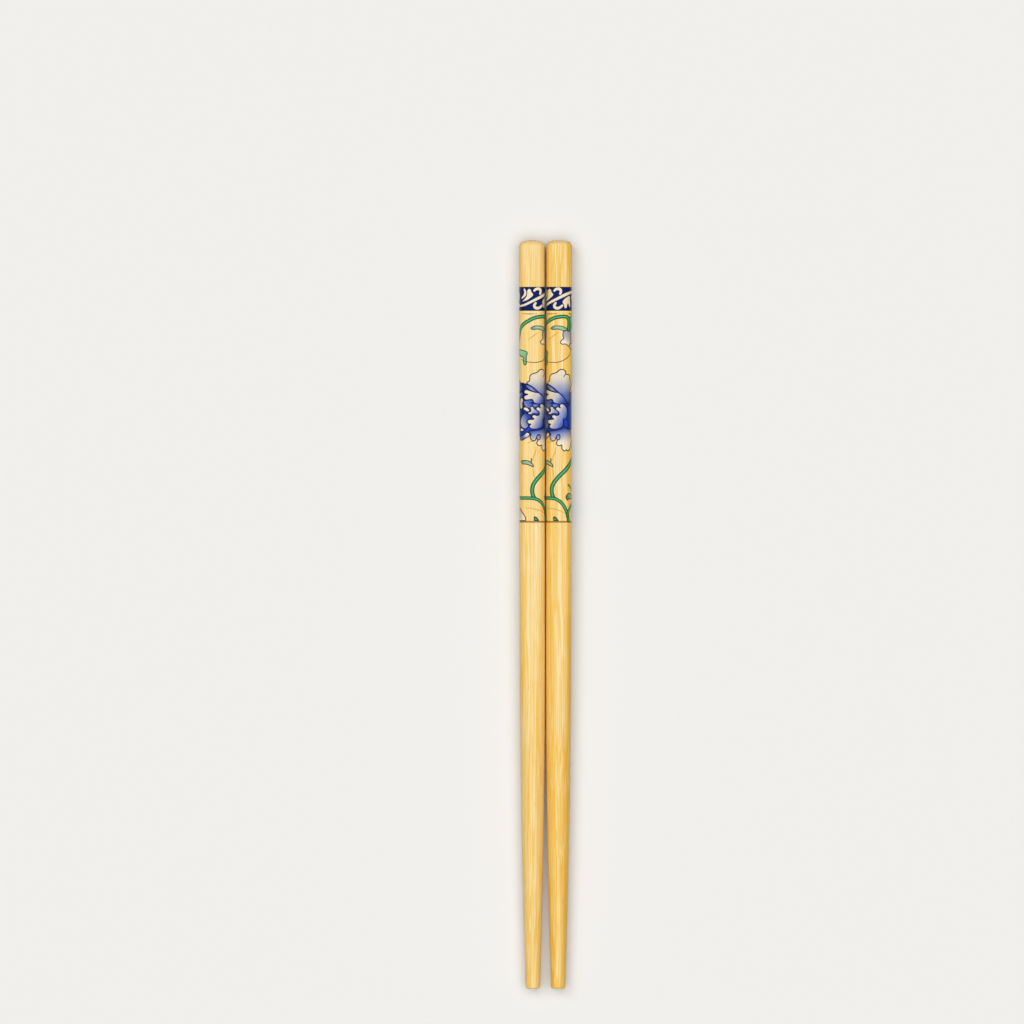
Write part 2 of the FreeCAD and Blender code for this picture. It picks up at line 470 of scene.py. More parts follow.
# The big blossom, petal by petal from the back: outline, shading line with its inks, and outline ink. A point
# with a third number starts an arc, and the others are joined by a smooth curve.
peony = [
    # left wings
    ([(-4.6, 44.3), (-5.8, 43.9), (-7.2, 43.1), (-8.5, 43.2), (-9.1, 44.2), (-8.7, 45.2), (-9.7, 46.0),
      (-10.1, 47.4), (-9.5, 48.6), (-9.0, 49.1), (-9.6, 50.1), (-9.3, 51.3), (-8.2, 51.8), (-6.6, 51.9),
      (-4.8, 51.6), (-4.0, 48.0)],
     ((-5.4, 47.9), (-9.9, 47.0), ["deepBlue", "royalBlue", "petalBlue", "lilac", "lilacGrey", "ivory"]),
     "navy"),
    ([(-4.6, 51.6), (-6.8, 51.9), (-8.6, 52.2), (-9.7, 53.2), (-9.7, 54.6), (-9.0, 55.2), (-9.5, 56.2),
      (-9.1, 57.5), (-8.1, 58.0), (-7.9, 59.2), (-6.9, 60.1), (-5.4, 60.2), (-4.0, 59.0), (-3.8, 55.0)],
     ((-5.4, 55.2), (-9.5, 55.6), ["deepBlue", "royalBlue", "petalBlue", "lilac", "lilacGrey", "ivory"]),
     "navy"),
    # the dark heart behind the petals
    ([(-6.3, 45.0, 0.3), (-4.4, 44.2, 0.1), (-0.2, 46.4, 0.1), (3.9, 47.0, 0.15), (3.6, 58.2, 0.2),
      (-0.2, 59.2, 0.1), (-3.2, 59.6, 0.1), (-5.8, 61.2, 0.3), (-6.9, 56.4, 0.25), (-6.5, 51.8, 0.25)],
     ((-6.4, 50.0), (3.0, 52.0), ["navy", "deepBlue", "sapphire", "royalBlue", "sapphire", "sapphire"]),
     "navy"),
    # right wing
    ([(2.6, 50.6, 0.12), (3.2, 48.6, 0.18), (4.2, 46.6, 0.22), (6.6, 45.7, 0.2), (8.7, 46.6, 0.45),
      (9.5, 48.5, 0.5), (9.2, 50.3, 0.45), (9.7, 52.2, 0.5), (9.3, 54.3, 0.5), (8.6, 56.0, 0.5),
      (7.0, 57.1, 0.35), (5.3, 56.6, 0.1), (4.6, 57.7, 0.45), (2.6, 57.6, 0.15)],
     ((2.6, 52.0), (8.2, 51.6), ["sapphire", "royalBlue", "petalBlue", "lilac", "lilacGrey", "creamGrey",
                                 "ivory"]),
     "navy"),
    # top petal
    ([(-3.8, 43.75), (-3.0, 43.2), (-2.88, 42.1), (-2.5, 41.35), (-1.6, 40.95), (-0.8, 40.7), (-0.2, 40.2),
      (0.3, 39.82), (0.9, 39.7), (1.6, 39.95), (2.05, 40.6), (2.1, 41.2), (2.9, 41.3), (3.45, 41.8),
      (3.55, 42.8), (4.25, 43.7), (4.45, 44.5), (3.9, 45.5), (3.6, 47.0), (3.45, 49.0), (3.0, 50.6),
      (3.0, 50.6), (2.2, 49.3), (1.2, 47.9), (0.0, 46.9), (-1.0, 46.0), (-2.2, 45.0), (-3.4, 44.3)],
     ((0.6, 39.6), (2.2, 50.2), ["ivory", "ivory", "ivory", "creamGrey", "lilacGrey", "lilac", "petalBlue",
                                 "petalBlue", "royalBlue"]), "charcoal"),
    # sliver between the sweeping lines
    ([(-4.3, 44.6), (-3.4, 44.5), (-2.4, 45.1), (-1.4, 45.9), (-0.3, 46.85), (-0.3, 46.85), (-1.5, 46.6),
      (-2.8, 46.1), (-3.7, 45.4)],
     ((-4.2, 45.0), (-0.4, 46.7), ["petalBlue", "lilac", "petalBlue"]), "navy"),
    # left wing with two fingers
    ([(-0.3, 46.9), (-1.5, 46.7), (-2.8, 46.3), (-3.9, 45.95), (-4.6, 46.3), (-4.65, 46.9), (-4.2, 47.2),
      (-3.5, 47.4), (-4.3, 47.7), (-4.75, 48.3), (-4.5, 48.9), (-3.8, 49.1), (-2.6, 48.95), (-2.0, 49.1),
      (-1.7, 49.8), (-1.0, 50.2), (0.2, 50.4), (1.4, 50.3), (2.5, 50.2), (2.5, 50.2), (1.6, 48.5),
      (0.7, 47.6)],
     ((-3.2, 46.8), (1.5, 50.0), ["ivory", "ivory", "creamGrey", "creamGrey", "lilac", "petalBlue",
                                  "royalBlue"]),
     "navy"),
    # blue patch under it
    ([(-4.75, 49.5), (-3.6, 49.2), (-2.4, 49.15), (-2.0, 49.7), (-2.3, 50.3), (-2.2, 51.0), (-2.9, 51.6),
      (-3.9, 51.4), (-4.6, 50.7)],
     ((-4.4, 50.9), (-2.2, 49.6), ["lilac", "petalBlue", "petalBlue"]), "deepBlue"),
    ([(-1.9, 50.5), (-1.2, 50.35), (-0.4, 50.6), (-0.3, 51.1), (-1.2, 51.3), (-1.9, 51.1)],
     ((-1.9, 50.5), (-0.3, 51.1), ["lilac", "petalBlue"]), "royalBlue"),
    # far left petals
    ([(-5.0, 44.8), (-5.9, 44.5), (-6.9, 45.2), (-7.0, 46.2), (-6.0, 46.5), (-5.1, 46.2)],
     ((-6.8, 45.4), (-5.0, 45.6), ["lilac", "royalBlue", "deepBlue"]), "navy"),
    ([(-5.0, 46.8), (-6.2, 46.8), (-7.1, 47.4), (-6.6, 48.3), (-5.4, 48.3), (-4.9, 47.6)],
     ((-6.8, 47.4), (-5.0, 47.6), ["lilacGrey", "petalBlue", "royalBlue"]), "navy"),
    ([(-5.1, 48.7), (-5.7, 48.4), (-6.3, 48.9), (-6.5, 50.3), (-6.2, 51.6), (-5.6, 51.9), (-5.2, 51.3),
      (-5.25, 50.1), (-4.95, 49.4)],
     ((-6.4, 49.5), (-5.0, 49.8), ["lilacGrey", "creamGrey", "ivory"]), "charcoal"),
    ([(-3.1, 52.1), (-3.6, 51.5), (-4.5, 51.3), (-4.95, 51.8), (-4.5, 52.3), (-3.9, 52.6), (-3.4, 52.75),
      (-3.0, 52.5)],
     ((-4.8, 51.6), (-3.0, 52.4), ["cream", "cream", "ivory"]), "navy"),
    ([(-2.5, 54.0), (-3.2, 53.6), (-4.2, 53.2), (-5.0, 53.6), (-5.7, 54.5), (-6.1, 55.7), (-5.9, 56.9),
      (-5.1, 57.7), (-4.2, 57.9), (-3.5, 57.4), (-3.4, 56.5), (-3.9, 55.9), (-3.4, 55.2), (-2.5, 54.7)],
     ((-6.0, 56.0), (-3.2, 54.8), ["creamGrey", "lilacGrey", "lilac", "petalBlue", "royalBlue"]), "navy"),
    ([(-5.0, 57.9), (-5.9, 57.7), (-6.3, 58.4), (-5.6, 58.8), (-4.8, 58.5)],
     ((-6.2, 58.2), (-4.8, 58.3), ["ivory", "creamGrey"]), "navy"),
    ([(-3.0, 59.7), (-3.3, 59.2), (-4.0, 59.1), (-4.5, 59.6), (-5.4, 60.0), (-6.3, 60.5), (-6.2, 61.3),
      (-5.2, 61.4), (-4.2, 60.8), (-3.4, 60.4)],
     ((-3.4, 59.4), (-6.0, 60.8), ["cream", "creamGrey", "petalBlue", "petalBlue"]), "navy"),
    # small lilac petal in the heart
    ([(-2.8, 51.5), (-2.5, 51.15), (-1.9, 51.2), (-1.5, 51.8), (-0.9, 52.15), (-0.1, 52.9), (-0.35, 53.4),
      (-1.2, 53.35), (-1.9, 53.25), (-2.4, 53.55), (-3.0, 53.6), (-3.5, 53.3), (-3.3, 52.85), (-2.7, 52.65),
      (-2.6, 52.1)],
     ((-2.9, 51.6), (-0.3, 53.2), ["ivory", "creamGrey", "lilac", "petalBlue"]), "navy"),
    # scoop, with its fingers on the left rim
    ([(0.2, 51.0), (0.35, 50.5), (0.9, 50.3), (1.5, 50.5), (2.1, 51.1), (2.5, 52.0), (2.65, 53.0),
      (2.55, 54.0), (2.0, 54.9), (1.35, 55.1), (1.35, 56.3), (1.1, 57.1), (0.5, 57.7), (-0.4, 57.95),
      (-1.5, 58.1), (-2.4, 57.9), (-2.95, 57.5), (-2.95, 56.95), (-2.6, 56.55), (-3.3, 56.4), (-3.7, 55.95),
      (-3.55, 55.35), (-2.9, 55.1), (-2.3, 55.1), (-1.6, 55.0), (-1.9, 54.7), (-2.25, 54.25), (-2.0, 53.8),
      (-1.4, 53.7), (-0.8, 53.9), (-0.2, 53.8), (0.05, 53.3), (-0.1, 52.75), (-0.6, 52.35), (-1.0, 51.95),
      (-0.8, 51.4), (-0.2, 51.25), (0.4, 51.6)],
     ((-1.2, 53.0), (1.95, 54.65), ["ivory", "ivory", "creamGrey", "lilacGrey", "lilac", "lilac",
                                    "petalBlue", "petalBlue"]),
     "navy"),
    # bright patch beside the scoop
    ([(1.5, 55.0), (2.2, 55.1), (2.8, 55.5), (3.1, 56.6), (2.7, 57.5), (2.0, 57.3), (1.5, 56.6)],
     ((1.5, 55.2), (2.8, 57.2), ["sapphire", "sapphire", "royalBlue"]), "deepBlue"),
    # skirt with its lobes
    ([(-3.2, 58.8), (-2.8, 59.5), (-2.8, 60.7), (-2.3, 61.5), (-1.6, 61.65), (-1.1, 61.3), (-0.9, 60.7),
      (-0.55, 61.3), (-0.55, 61.75), (-0.78, 62.3), (-0.45, 62.95), (0.25, 63.15), (0.85, 62.95),
      (0.9, 64.0), (1.35, 64.65), (2.0, 64.7), (2.3, 64.45), (2.7, 64.7), (3.4, 64.3), (3.75, 63.3),
      (4.1, 62.3), (4.3, 60.5), (3.8, 58.4), (2.6, 57.95), (1.4, 57.7), (0.4, 58.2), (-1.2, 58.5)],
     ((0.8, 57.8), (1.4, 62.6), ["royalBlue", "petalBlue", "lilac", "lilacGrey", "creamGrey", "cream",
                                 "cream"]),
     "charcoal"),
    ([(-0.8, 60.5), (-0.55, 59.9), (0.0, 59.7), (0.3, 60.2), (0.22, 61.0), (-0.2, 61.35), (-0.6, 61.15)],
     ((0.0, 59.8), (-0.3, 61.3), ["petalBlue", "creamGrey"]), "navy"),
    ([(4.3, 62.0, 0.1), (5.4, 61.2, 0.5), (5.6, 62.8, 0.7), (4.7, 63.7, 0.3)],
     ((4.6, 61.6), (5.0, 63.4), ["lilacGrey", "cream"]), "charcoal"),
]

# Lines that sweep over the petals: points, width, ink
peonyLines = [
    ([(-6.4, 44.5), (-5.2, 44.1), (-3.8, 44.2), (-2.7, 44.75), (-1.4, 45.75), (-0.2, 46.8), (1.0, 47.85),
      (1.9, 49.0), (2.5, 50.2), (3.0, 51.4)], 0.32, "deepBlue"),
    ([(-3.9, 45.7), (-2.6, 46.3), (-1.4, 46.7), (-0.2, 46.85)], 0.24, "navy"),
    ([(2.1, 41.25), (1.65, 41.65), (1.45, 42.2)], 0.26, "charcoal"),
    ([(1.4, 54.9), (1.42, 55.9), (1.35, 57.2)], 0.34, "navy"),
    ([(-3.1, 58.4), (-1.6, 58.4), (-0.2, 58.2), (0.9, 57.75), (1.4, 57.3)], 0.34, "deepBlue"),
    ([(1.4, 57.3), (2.2, 57.75), (3.4, 57.95)], 0.3, "deepBlue"),
    ([(-2.75, 59.1), (-2.55, 59.6), (-2.5, 60.1)], 0.26, "deepBlue"),
    ([(2.3, 64.6), (2.32, 64.15)], 0.26, "charcoal"),
    ([(2.75, 50.6), (3.15, 51.8), (3.25, 53.4), (2.95, 55.0)], 0.3, "sapphire"),
    ([(-2.9, 50.05), (-2.2, 50.0), (-1.6, 50.25)], 0.36, "navy"),
    ([(5.8, 52.7), (7.0, 52.4), (7.9, 52.5)], 0.22, "charcoal"),
    ([(8.9, 48.6), (8.2, 48.7), (7.8, 49.1)], 0.22, "charcoal"),
    ([(8.7, 50.3), (8.0, 50.3), (7.6, 50.7)], 0.22, "charcoal"),
    ([(9.0, 54.3), (8.3, 54.2), (7.8, 54.5)], 0.22, "charcoal"),
    ([(-8.7, 45.2), (-8.1, 45.6), (-7.7, 46.2)], 0.22, "charcoal"),
    ([(-9.0, 49.1), (-8.3, 48.9), (-7.7, 49.1)], 0.22, "charcoal"),
    ([(-9.0, 55.2), (-8.3, 55.2), (-7.8, 55.5)], 0.22, "charcoal"),
]

# Bellflower that hangs from the arching stem
bellflower = [
    ([(5.0, 24.0, 0.15), (7.0, 23.4, 0.25), (9.6, 23.8, 0.3), (10.6, 25.2, 0.3), (8.6, 26.3, 0.2),
      (6.6, 26.4, 0.2)],
     ((5.0, 24.0), (10.4, 25.0), ["petalBlue", "lilac", "petalBlue"]), "navy"),
    ([(6.0, 26.4, 0.1), (8.6, 26.2, 0.2), (10.4, 27.2, 0.4), (9.6, 28.8, 0.2), (7.6, 28.0, 0.1)],
     ((6.2, 26.6), (10.2, 28.0), ["blush", "ivory"]), "charcoal"),
    ([(1.2, 28.5), (1.6, 28.0), (2.4, 27.7), (3.6, 27.4), (3.95, 28.6), (3.95, 30.6), (3.9, 32.0),
      (3.5, 32.6), (2.9, 32.55), (2.4, 32.1), (1.8, 31.9), (1.1, 32.0), (0.55, 31.7), (0.5, 31.15),
      (0.95, 30.65), (1.4, 30.2), (1.2, 29.5)],
     ((3.4, 28.0), (0.8, 31.9), ["lilacGrey", "lilacGrey", "lilacGrey", "creamGrey", "white", "white"]),
     "charcoal"),
    ([(3.7, 27.0, 0.2), (4.4, 26.0, 0.1), (5.0, 27.8, 0.15), (6.6, 28.9, 0.3), (7.3, 30.2, 0.4),
      (6.7, 31.8, 0.4), (5.6, 31.4, 0.15), (4.6, 30.9, 0.2), (3.9, 29.4, 0.1)],
     ((4.2, 26.6), (6.2, 31.4), ["lilacGrey", "creamGrey", "cream"]), "charcoal"),
    ([(3.2, 32.2, 0.3), (4.6, 31.6, 0.2), (5.0, 32.8, 0.4), (4.4, 33.7, 0.4)],
     ((4.0, 31.8), (4.2, 33.4), ["lilacGrey", "cream"]), "charcoal"),
    ([(5.2, 32.4, 0.3), (6.4, 31.9, 0.4), (7.4, 32.2, 0.3), (7.8, 33.6, 0.5), (6.6, 33.9, 0.2),
      (5.4, 33.6, 0.2)],
     ((5.4, 32.4), (7.4, 33.6), ["petalBlue", "lilac"]), "navy"),
    ([(3.3, 23.8, 0.05), (4.4, 23.3, 0.0), (6.0, 22.9, 0.0), (5.2, 24.0, 0.0), (5.0, 25.0, 0.0),
      (5.7, 26.2, 0.0), (4.4, 26.0, 0.1), (3.5, 27.5, 0.0), (2.9, 27.6, 0.1), (3.1, 25.4, 0.0)],
     ((2.8, 27.0), (5.6, 23.2), ["stemGreen", "leafMint", "lime"]), "leafDeep"),
]

# Small flower by the lower stem
smallFlower = [
    ([(6.2, 74.9, 0.2), (7.2, 73.2, 0.3), (9.2, 72.5, 0.4), (10.8, 73.4, 0.4), (10.2, 75.2, 0.2),
      (8.0, 75.4, 0.1)],
     ((6.6, 74.4), (10.4, 73.8), ["creamGrey", "cream", "blush"]), "charcoal"),
    ([(6.9, 76.4, 0.2), (8.6, 75.5, 0.3), (10.4, 76.2, 0.4), (9.4, 77.6, 0.2), (7.6, 77.5, 0.1)],
     ((7.0, 76.4), (10.2, 76.6), ["coral", "blush"]), "rust"),
    ([(4.9, 75.8, 0.4), (5.6, 74.5, 0.4), (6.7, 75.2, 0.4), (6.5, 76.8, 0.3), (5.4, 77.1, 0.3)],
     ((5.0, 74.8), (6.4, 77.0), ["coral", "blush", "coral"]), "rust"),
    ([(7.6, 77.5, 0.3), (8.9, 77.3, 0.4), (8.8, 78.7, 0.4), (7.7, 78.6, 0.2)],
     ((7.6, 77.6), (8.9, 78.6), ["coral", "amber"]), "rust"),
    ([(6.3, 80.4, 0.1), (7.4, 80.2, 0.3), (7.9, 82.0, 0.3), (7.6, 84.4, 0.2), (7.3, 86.1, 0.0),
      (6.5, 86.1, 0.2), (6.2, 83.2, 0.1)],
     ((6.6, 80.6), (7.2, 86.0), ["blush", "creamGrey", "lilacGrey"]), "charcoal"),
    ([(7.6, 81.9, 0.3), (9.6, 81.3, 0.4), (11.0, 82.8, 0.3), (10.6, 84.8, 0.3), (9.0, 86.1, 0.0),
      (8.2, 86.1, 0.2), (7.6, 84.2, 0.1)],
     ((7.8, 82.0), (10.4, 85.4), ["petalBlue", "lilac", "royalBlue"]), "navy"),
    ([(7.4, 80.0, 0.2), (9.0, 79.5, 0.2), (10.6, 80.2, 0.1), (9.4, 81.4, 0.2), (7.8, 81.2, 0.2)],
     ((7.4, 80.4), (10.4, 80.4), ["leafTeal", "leafDeep"]), "leafDeep"),
    ([(6.2, 78.0, 0.3), (6.7, 77.0, 0.3), (7.5, 77.9, 0.3), (7.4, 79.4, 0.3), (6.6, 79.9, 0.3)],
     ((6.3, 77.2), (7.4, 79.6), ["leafMint", "stemGreen"]), "leafDeep"),
]

# Blossom on the far side of the stick, where the photo shows nothing: two rings of plain petals
backBlossom = {
    "u": 14.2,
    "v": 53.4,
    "radius": 4.3,
    "petals": 6,
    "overlap": 1.12,             # how far a petal reaches over its neighbours
    "tip": (0.9, 1.15),          # a petal's tip and sides, across and along, as shares of its radius
    "sides": (0.8, 1.0),
    "bulges": (0.15, 0.5, 0.5, 0.15),
    "line": 0.24,
    "rings": [                   # size, turn in petals, inks from the middle
        (1.0, 0.0, ["royalBlue", "petalBlue", "lilac", "creamGrey", "cream"]),
        (0.66, 0.5, ["deepBlue", "royalBlue", "lilac", "cream"]),
    ],
    "heart": (0.75, 0.85),
    "heartSteps": 16,
    "heartShade": 0.8,
    "heartLine": 0.2,
}

# Petal tips that the print's edge cuts off
cutPetals = [
    ([(-8.4, 86.15, 0.0), (-8.2, 83.4, 0.3), (-6.5, 82.3, 0.15), (-5.5, 83.5, 0.1), (-4.5, 84.7, 0.15),
      (-4.2, 86.15, 0.0)],
     ((-4.6, 85.6), (-8.0, 83.4), ["cream", "ivory", "blush", "coral"]), "charcoal"),
]


# Line widths of the petals, and how much the sweeping lines narrow to their ends
petalLines = {"small": 0.28, "peony": 0.3, "sweepTaper": 0.35}


def drawPetals(petals, width):
    for corners, paint, line in petals:
        outline = arcs(corners) if len(corners[0]) == 3 else curve(corners, True)
        outlined(outline, paint, line, width)


def drawBackBlossom():
    u, v, radius = backBlossom["u"], backBlossom["v"], backBlossom["radius"]
    count = backBlossom["petals"]
    spread = math.pi / count * backBlossom["overlap"]

    def spot(angle, size, shares):
        return (u + math.cos(angle) * radius * size * shares[0],
                v + math.sin(angle) * radius * size * shares[1])

    for size, turn, shades in backBlossom["rings"]:
        for i in range(count):
            middle = 2.0 * math.pi * (i + turn) / count
            tip = spot(middle, size, backBlossom["tip"])
            left = spot(middle - spread, size, backBlossom["sides"])
            right = spot(middle + spread, size, backBlossom["sides"])
            places = ((u, v), left, tip, right)
            corners = [(*place, bulge) for place, bulge in zip(places, backBlossom["bulges"])]
            outlined(arcs(corners), ((u, v), tip, shades), "navy", backBlossom["line"])
    across, along = backBlossom["heart"]
    steps, shade = backBlossom["heartSteps"], backBlossom["heartShade"]
    turns = [2.0 * math.pi * i / steps for i in range(steps)]
    heart = [(u + across * math.cos(a), v + along * math.sin(a)) for a in turns]
    outlined(heart, ((u, v - shade), (u, v + shade), ["gold", "amber"]), "rust", backBlossom["heartLine"])


def drawFilm():
    drawBorder()
    drawEdgeLines()
    drawVeins()
    drawLeaves()
    drawPetals(bellflower, petalLines["small"])
    drawStems()
    drawPetals(cutPetals, petalLines["small"])
    drawBackBlossom()
    drawPetals(peony, petalLines["peony"])
    for points, width, ink in peonyLines:
        stroke(curve(points), width, ink, taper=petalLines["sweepTaper"])
    drawPetals(smallFlower, petalLines["small"])
    print("film:", len(shapes), "drawn shapes")


# Turning the drawing into faces

# Where a shape can lie: lowest and highest u and v
def reach(shape):
    around = max(shape["widths"]) / 2.0 if shape["widths"] else 0.0
    return np.min(shape["outline"], axis=0) - around, np.max(shape["outline"], axis=0) + around


# The edge of a stroke: along one side, round the end, back along the other side and round the start
def strokeEdge(path, widths):
    left, right = [], []
    for i, (u, v) in enumerate(path):
        before, after = path[max(i - 1, 0)], path[min(i + 1, len(path) - 1)]
        way = Vector((after[0] - before[0], after[1] - before[1])).normalized()
        left.append((u - way.y * widths[i] / 2.0, v + way.x * widths[i] / 2.0))
        right.append((u + way.y * widths[i] / 2.0, v - way.x * widths[i] / 2.0))
    if math.dist(path[0], path[-1]) < printArea["closedWithin"]:
        return [left, right]
    return [left + roundEnd(left[-1], right[-1]) + right[::-1] + roundEnd(right[0], left[0])]


def roundEnd(start, end):
    middle = Vector(((start[0] + end[0]) / 2.0, (start[1] + end[1]) / 2.0))
    spoke = Vector(start) - middle
    steps = max(2, round(spoke.length * math.pi / printArea["roundEndStep"]))
    made = []
    for s in range(1, steps):
        turned = spoke.copy()
        turned.rotate(Matrix.Rotation(-math.pi * s / steps, 2))
        made.append(tuple(middle + turned))
    return made


def insideOutline(outline, points):
    inside = np.zeros(len(points), bool)
    for (u0, v0), (u1, v1) in zip(outline, outline[1:] + outline[:1]):
        if v0 == v1:
            continue
        crossing = (v0 > points[:, 1]) != (v1 > points[:, 1])
        inside ^= crossing & (points[:, 0] < (u1 - u0) * (points[:, 1] - v0) / (v1 - v0) + u0)
    return inside


def insideStroke(path, widths, points):
    inside = np.zeros(len(points), bool)
    for start, end, startWidth, endWidth in zip(path, path[1:], widths, widths[1:]):
        way = np.subtract(end, start)
        share = np.clip((points - start) @ way / max(way @ way, nearZero), 0.0, 1.0)
        apart = np.hypot(*(points - start - share[:, None] * way).T)
        inside |= apart <= (startWidth + (endWidth - startWidth) * share) / 2.0
    return inside


def insideShape(shape, points):
    if shape["widths"]:
        return insideStroke(shape["outline"], shape["widths"], points)
    return insideOutline(shape["outline"], points)


# The ink of a shape at some points: one ink, or several blended along a line
def paintAt(shape, points):
    paint = shape["paint"]
    if isinstance(paint, str):
        colours = np.tile(np.array(inks[paint], float), (len(points), 1))
    else:
        start, end, names = paint
        way = np.subtract(end, start)
        place = np.clip((points - start) @ way / (way @ way), 0.0, 1.0) * (len(names) - 1)
        steps = np.array([inks[name] for name in names], float)
        colours = np.stack([np.interp(place, range(len(names)), steps[:, k]) for k in range(3)], axis=1)
    linear = ((colours / 255.0 + 0.055) / 1.055) ** 2.4
    return np.hstack([linear, np.full((len(points), 1), shape["cover"])])


# The film cut into triangles, with every drawn edge and every facet line of the stick as edges of the mesh.
# Points are (length round the stick, distance from the handle end).
def cutFilm(shift, top, end):
    points, edges = [], []

    def addLine(path, closed):
        first = len(points)
        points.extend(Vector(p) for p in path)
        edges.extend((i, i + 1) for i in range(first, len(points) - 1))
        if closed:
            edges.append((len(points) - 1, first))

    for stop in ringStops():
        addLine([(stopLength(stop), top), (stopLength(stop), end)], False)
    addLine([(perimeter, top), (perimeter, end)], False)
    addLine([(0.0, top), (perimeter, top)], False)
    addLine([(0.0, end), (perimeter, end)], False)
    # a shape is drawn on every turn of the film that it touches
    placedShapes = []
    for shape in shapes:
        low, high = reach(shape)
        for turns in (-2, -1, 0, 1):
            offset = np.array((perimeter / 2.0 + shift + turns * perimeter, 0.0))
            if low[0] + offset[0] < perimeter and high[0] + offset[0] > 0.0:
                placedShapes.append((shape, offset, low + offset, high + offset))
                outlines = [shape["outline"]]
                if shape["widths"]:
                    outlines = strokeEdge(shape["outline"], shape["widths"])
                for outline in outlines:
                    addLine([(u + offset[0], v) for u, v in outline], True)
    # points inside the shaded petals, for the ink to change between them
    step = printArea["shadeStep"]
    grid = np.array([(step * (i + 0.5 * (j % 2)), top + step * j)
                     for j in range(1, int((end - top) / step)) for i in range(1, int(perimeter / step))])
    shaded = np.zeros(len(grid), bool)
    for shape, offset, low, high in placedShapes:
        if not isinstance(shape["paint"], str) and not shape["widths"]:
            shaded |= insideShape(shape, grid - offset)
    points.extend(Vector(p) for p in grid[shaded])
    coords, _, faces, _, _, _ = delaunay_2d_cdt(points, edges, [], 0, printArea["joinWithin"], False)
    coords = np.array([tuple(c) for c in coords])
    faces = np.array(faces)
    middles = coords[faces].mean(axis=1)
    kept = (middles[:, 0] > 0) & (middles[:, 0] < perimeter) & (middles[:, 1] > top) & (middles[:, 1] < end)
    faces, middles = faces[kept], middles[kept]
    # each face takes the ink of the last shape drawn over it
    ink = np.zeros((len(faces), 3, 4))
    owner = np.full(len(faces), -1)
    for number, (shape, offset, low, high) in enumerate(placedShapes):
        near = np.flatnonzero(np.all((middles >= low) & (middles <= high), axis=1))
        owner[near[insideShape(shape, middles[near] - offset)]] = number
    for number, (shape, offset, low, high) in enumerate(placedShapes):
        mine = np.flatnonzero(owner == number)
        for corner in range(3):
            ink[mine, corner] = paintAt(shape, coords[faces[mine, corner]] - offset)
    return coords, faces, ink


# Where each part of the surface lies on the stick's map: its left and right edges, then its top and foot
mapPlaces = {
    "print": (0.005, 0.425, 0.995, 0.005),
    "shaft": (0.435, 0.735, 0.995, 0.005),
    "handleEnd": (0.745, 0.995, 0.995, 0.83),
    "handleCap": (0.75, 0.90, 0.79, 0.64),
    "tipCap": (0.75, 0.84, 0.60, 0.51),
}


def mapped(part, across, along):
    left, right, top, foot = mapPlaces[part]
    return left + (right - left) * across, top + (foot - top) * along


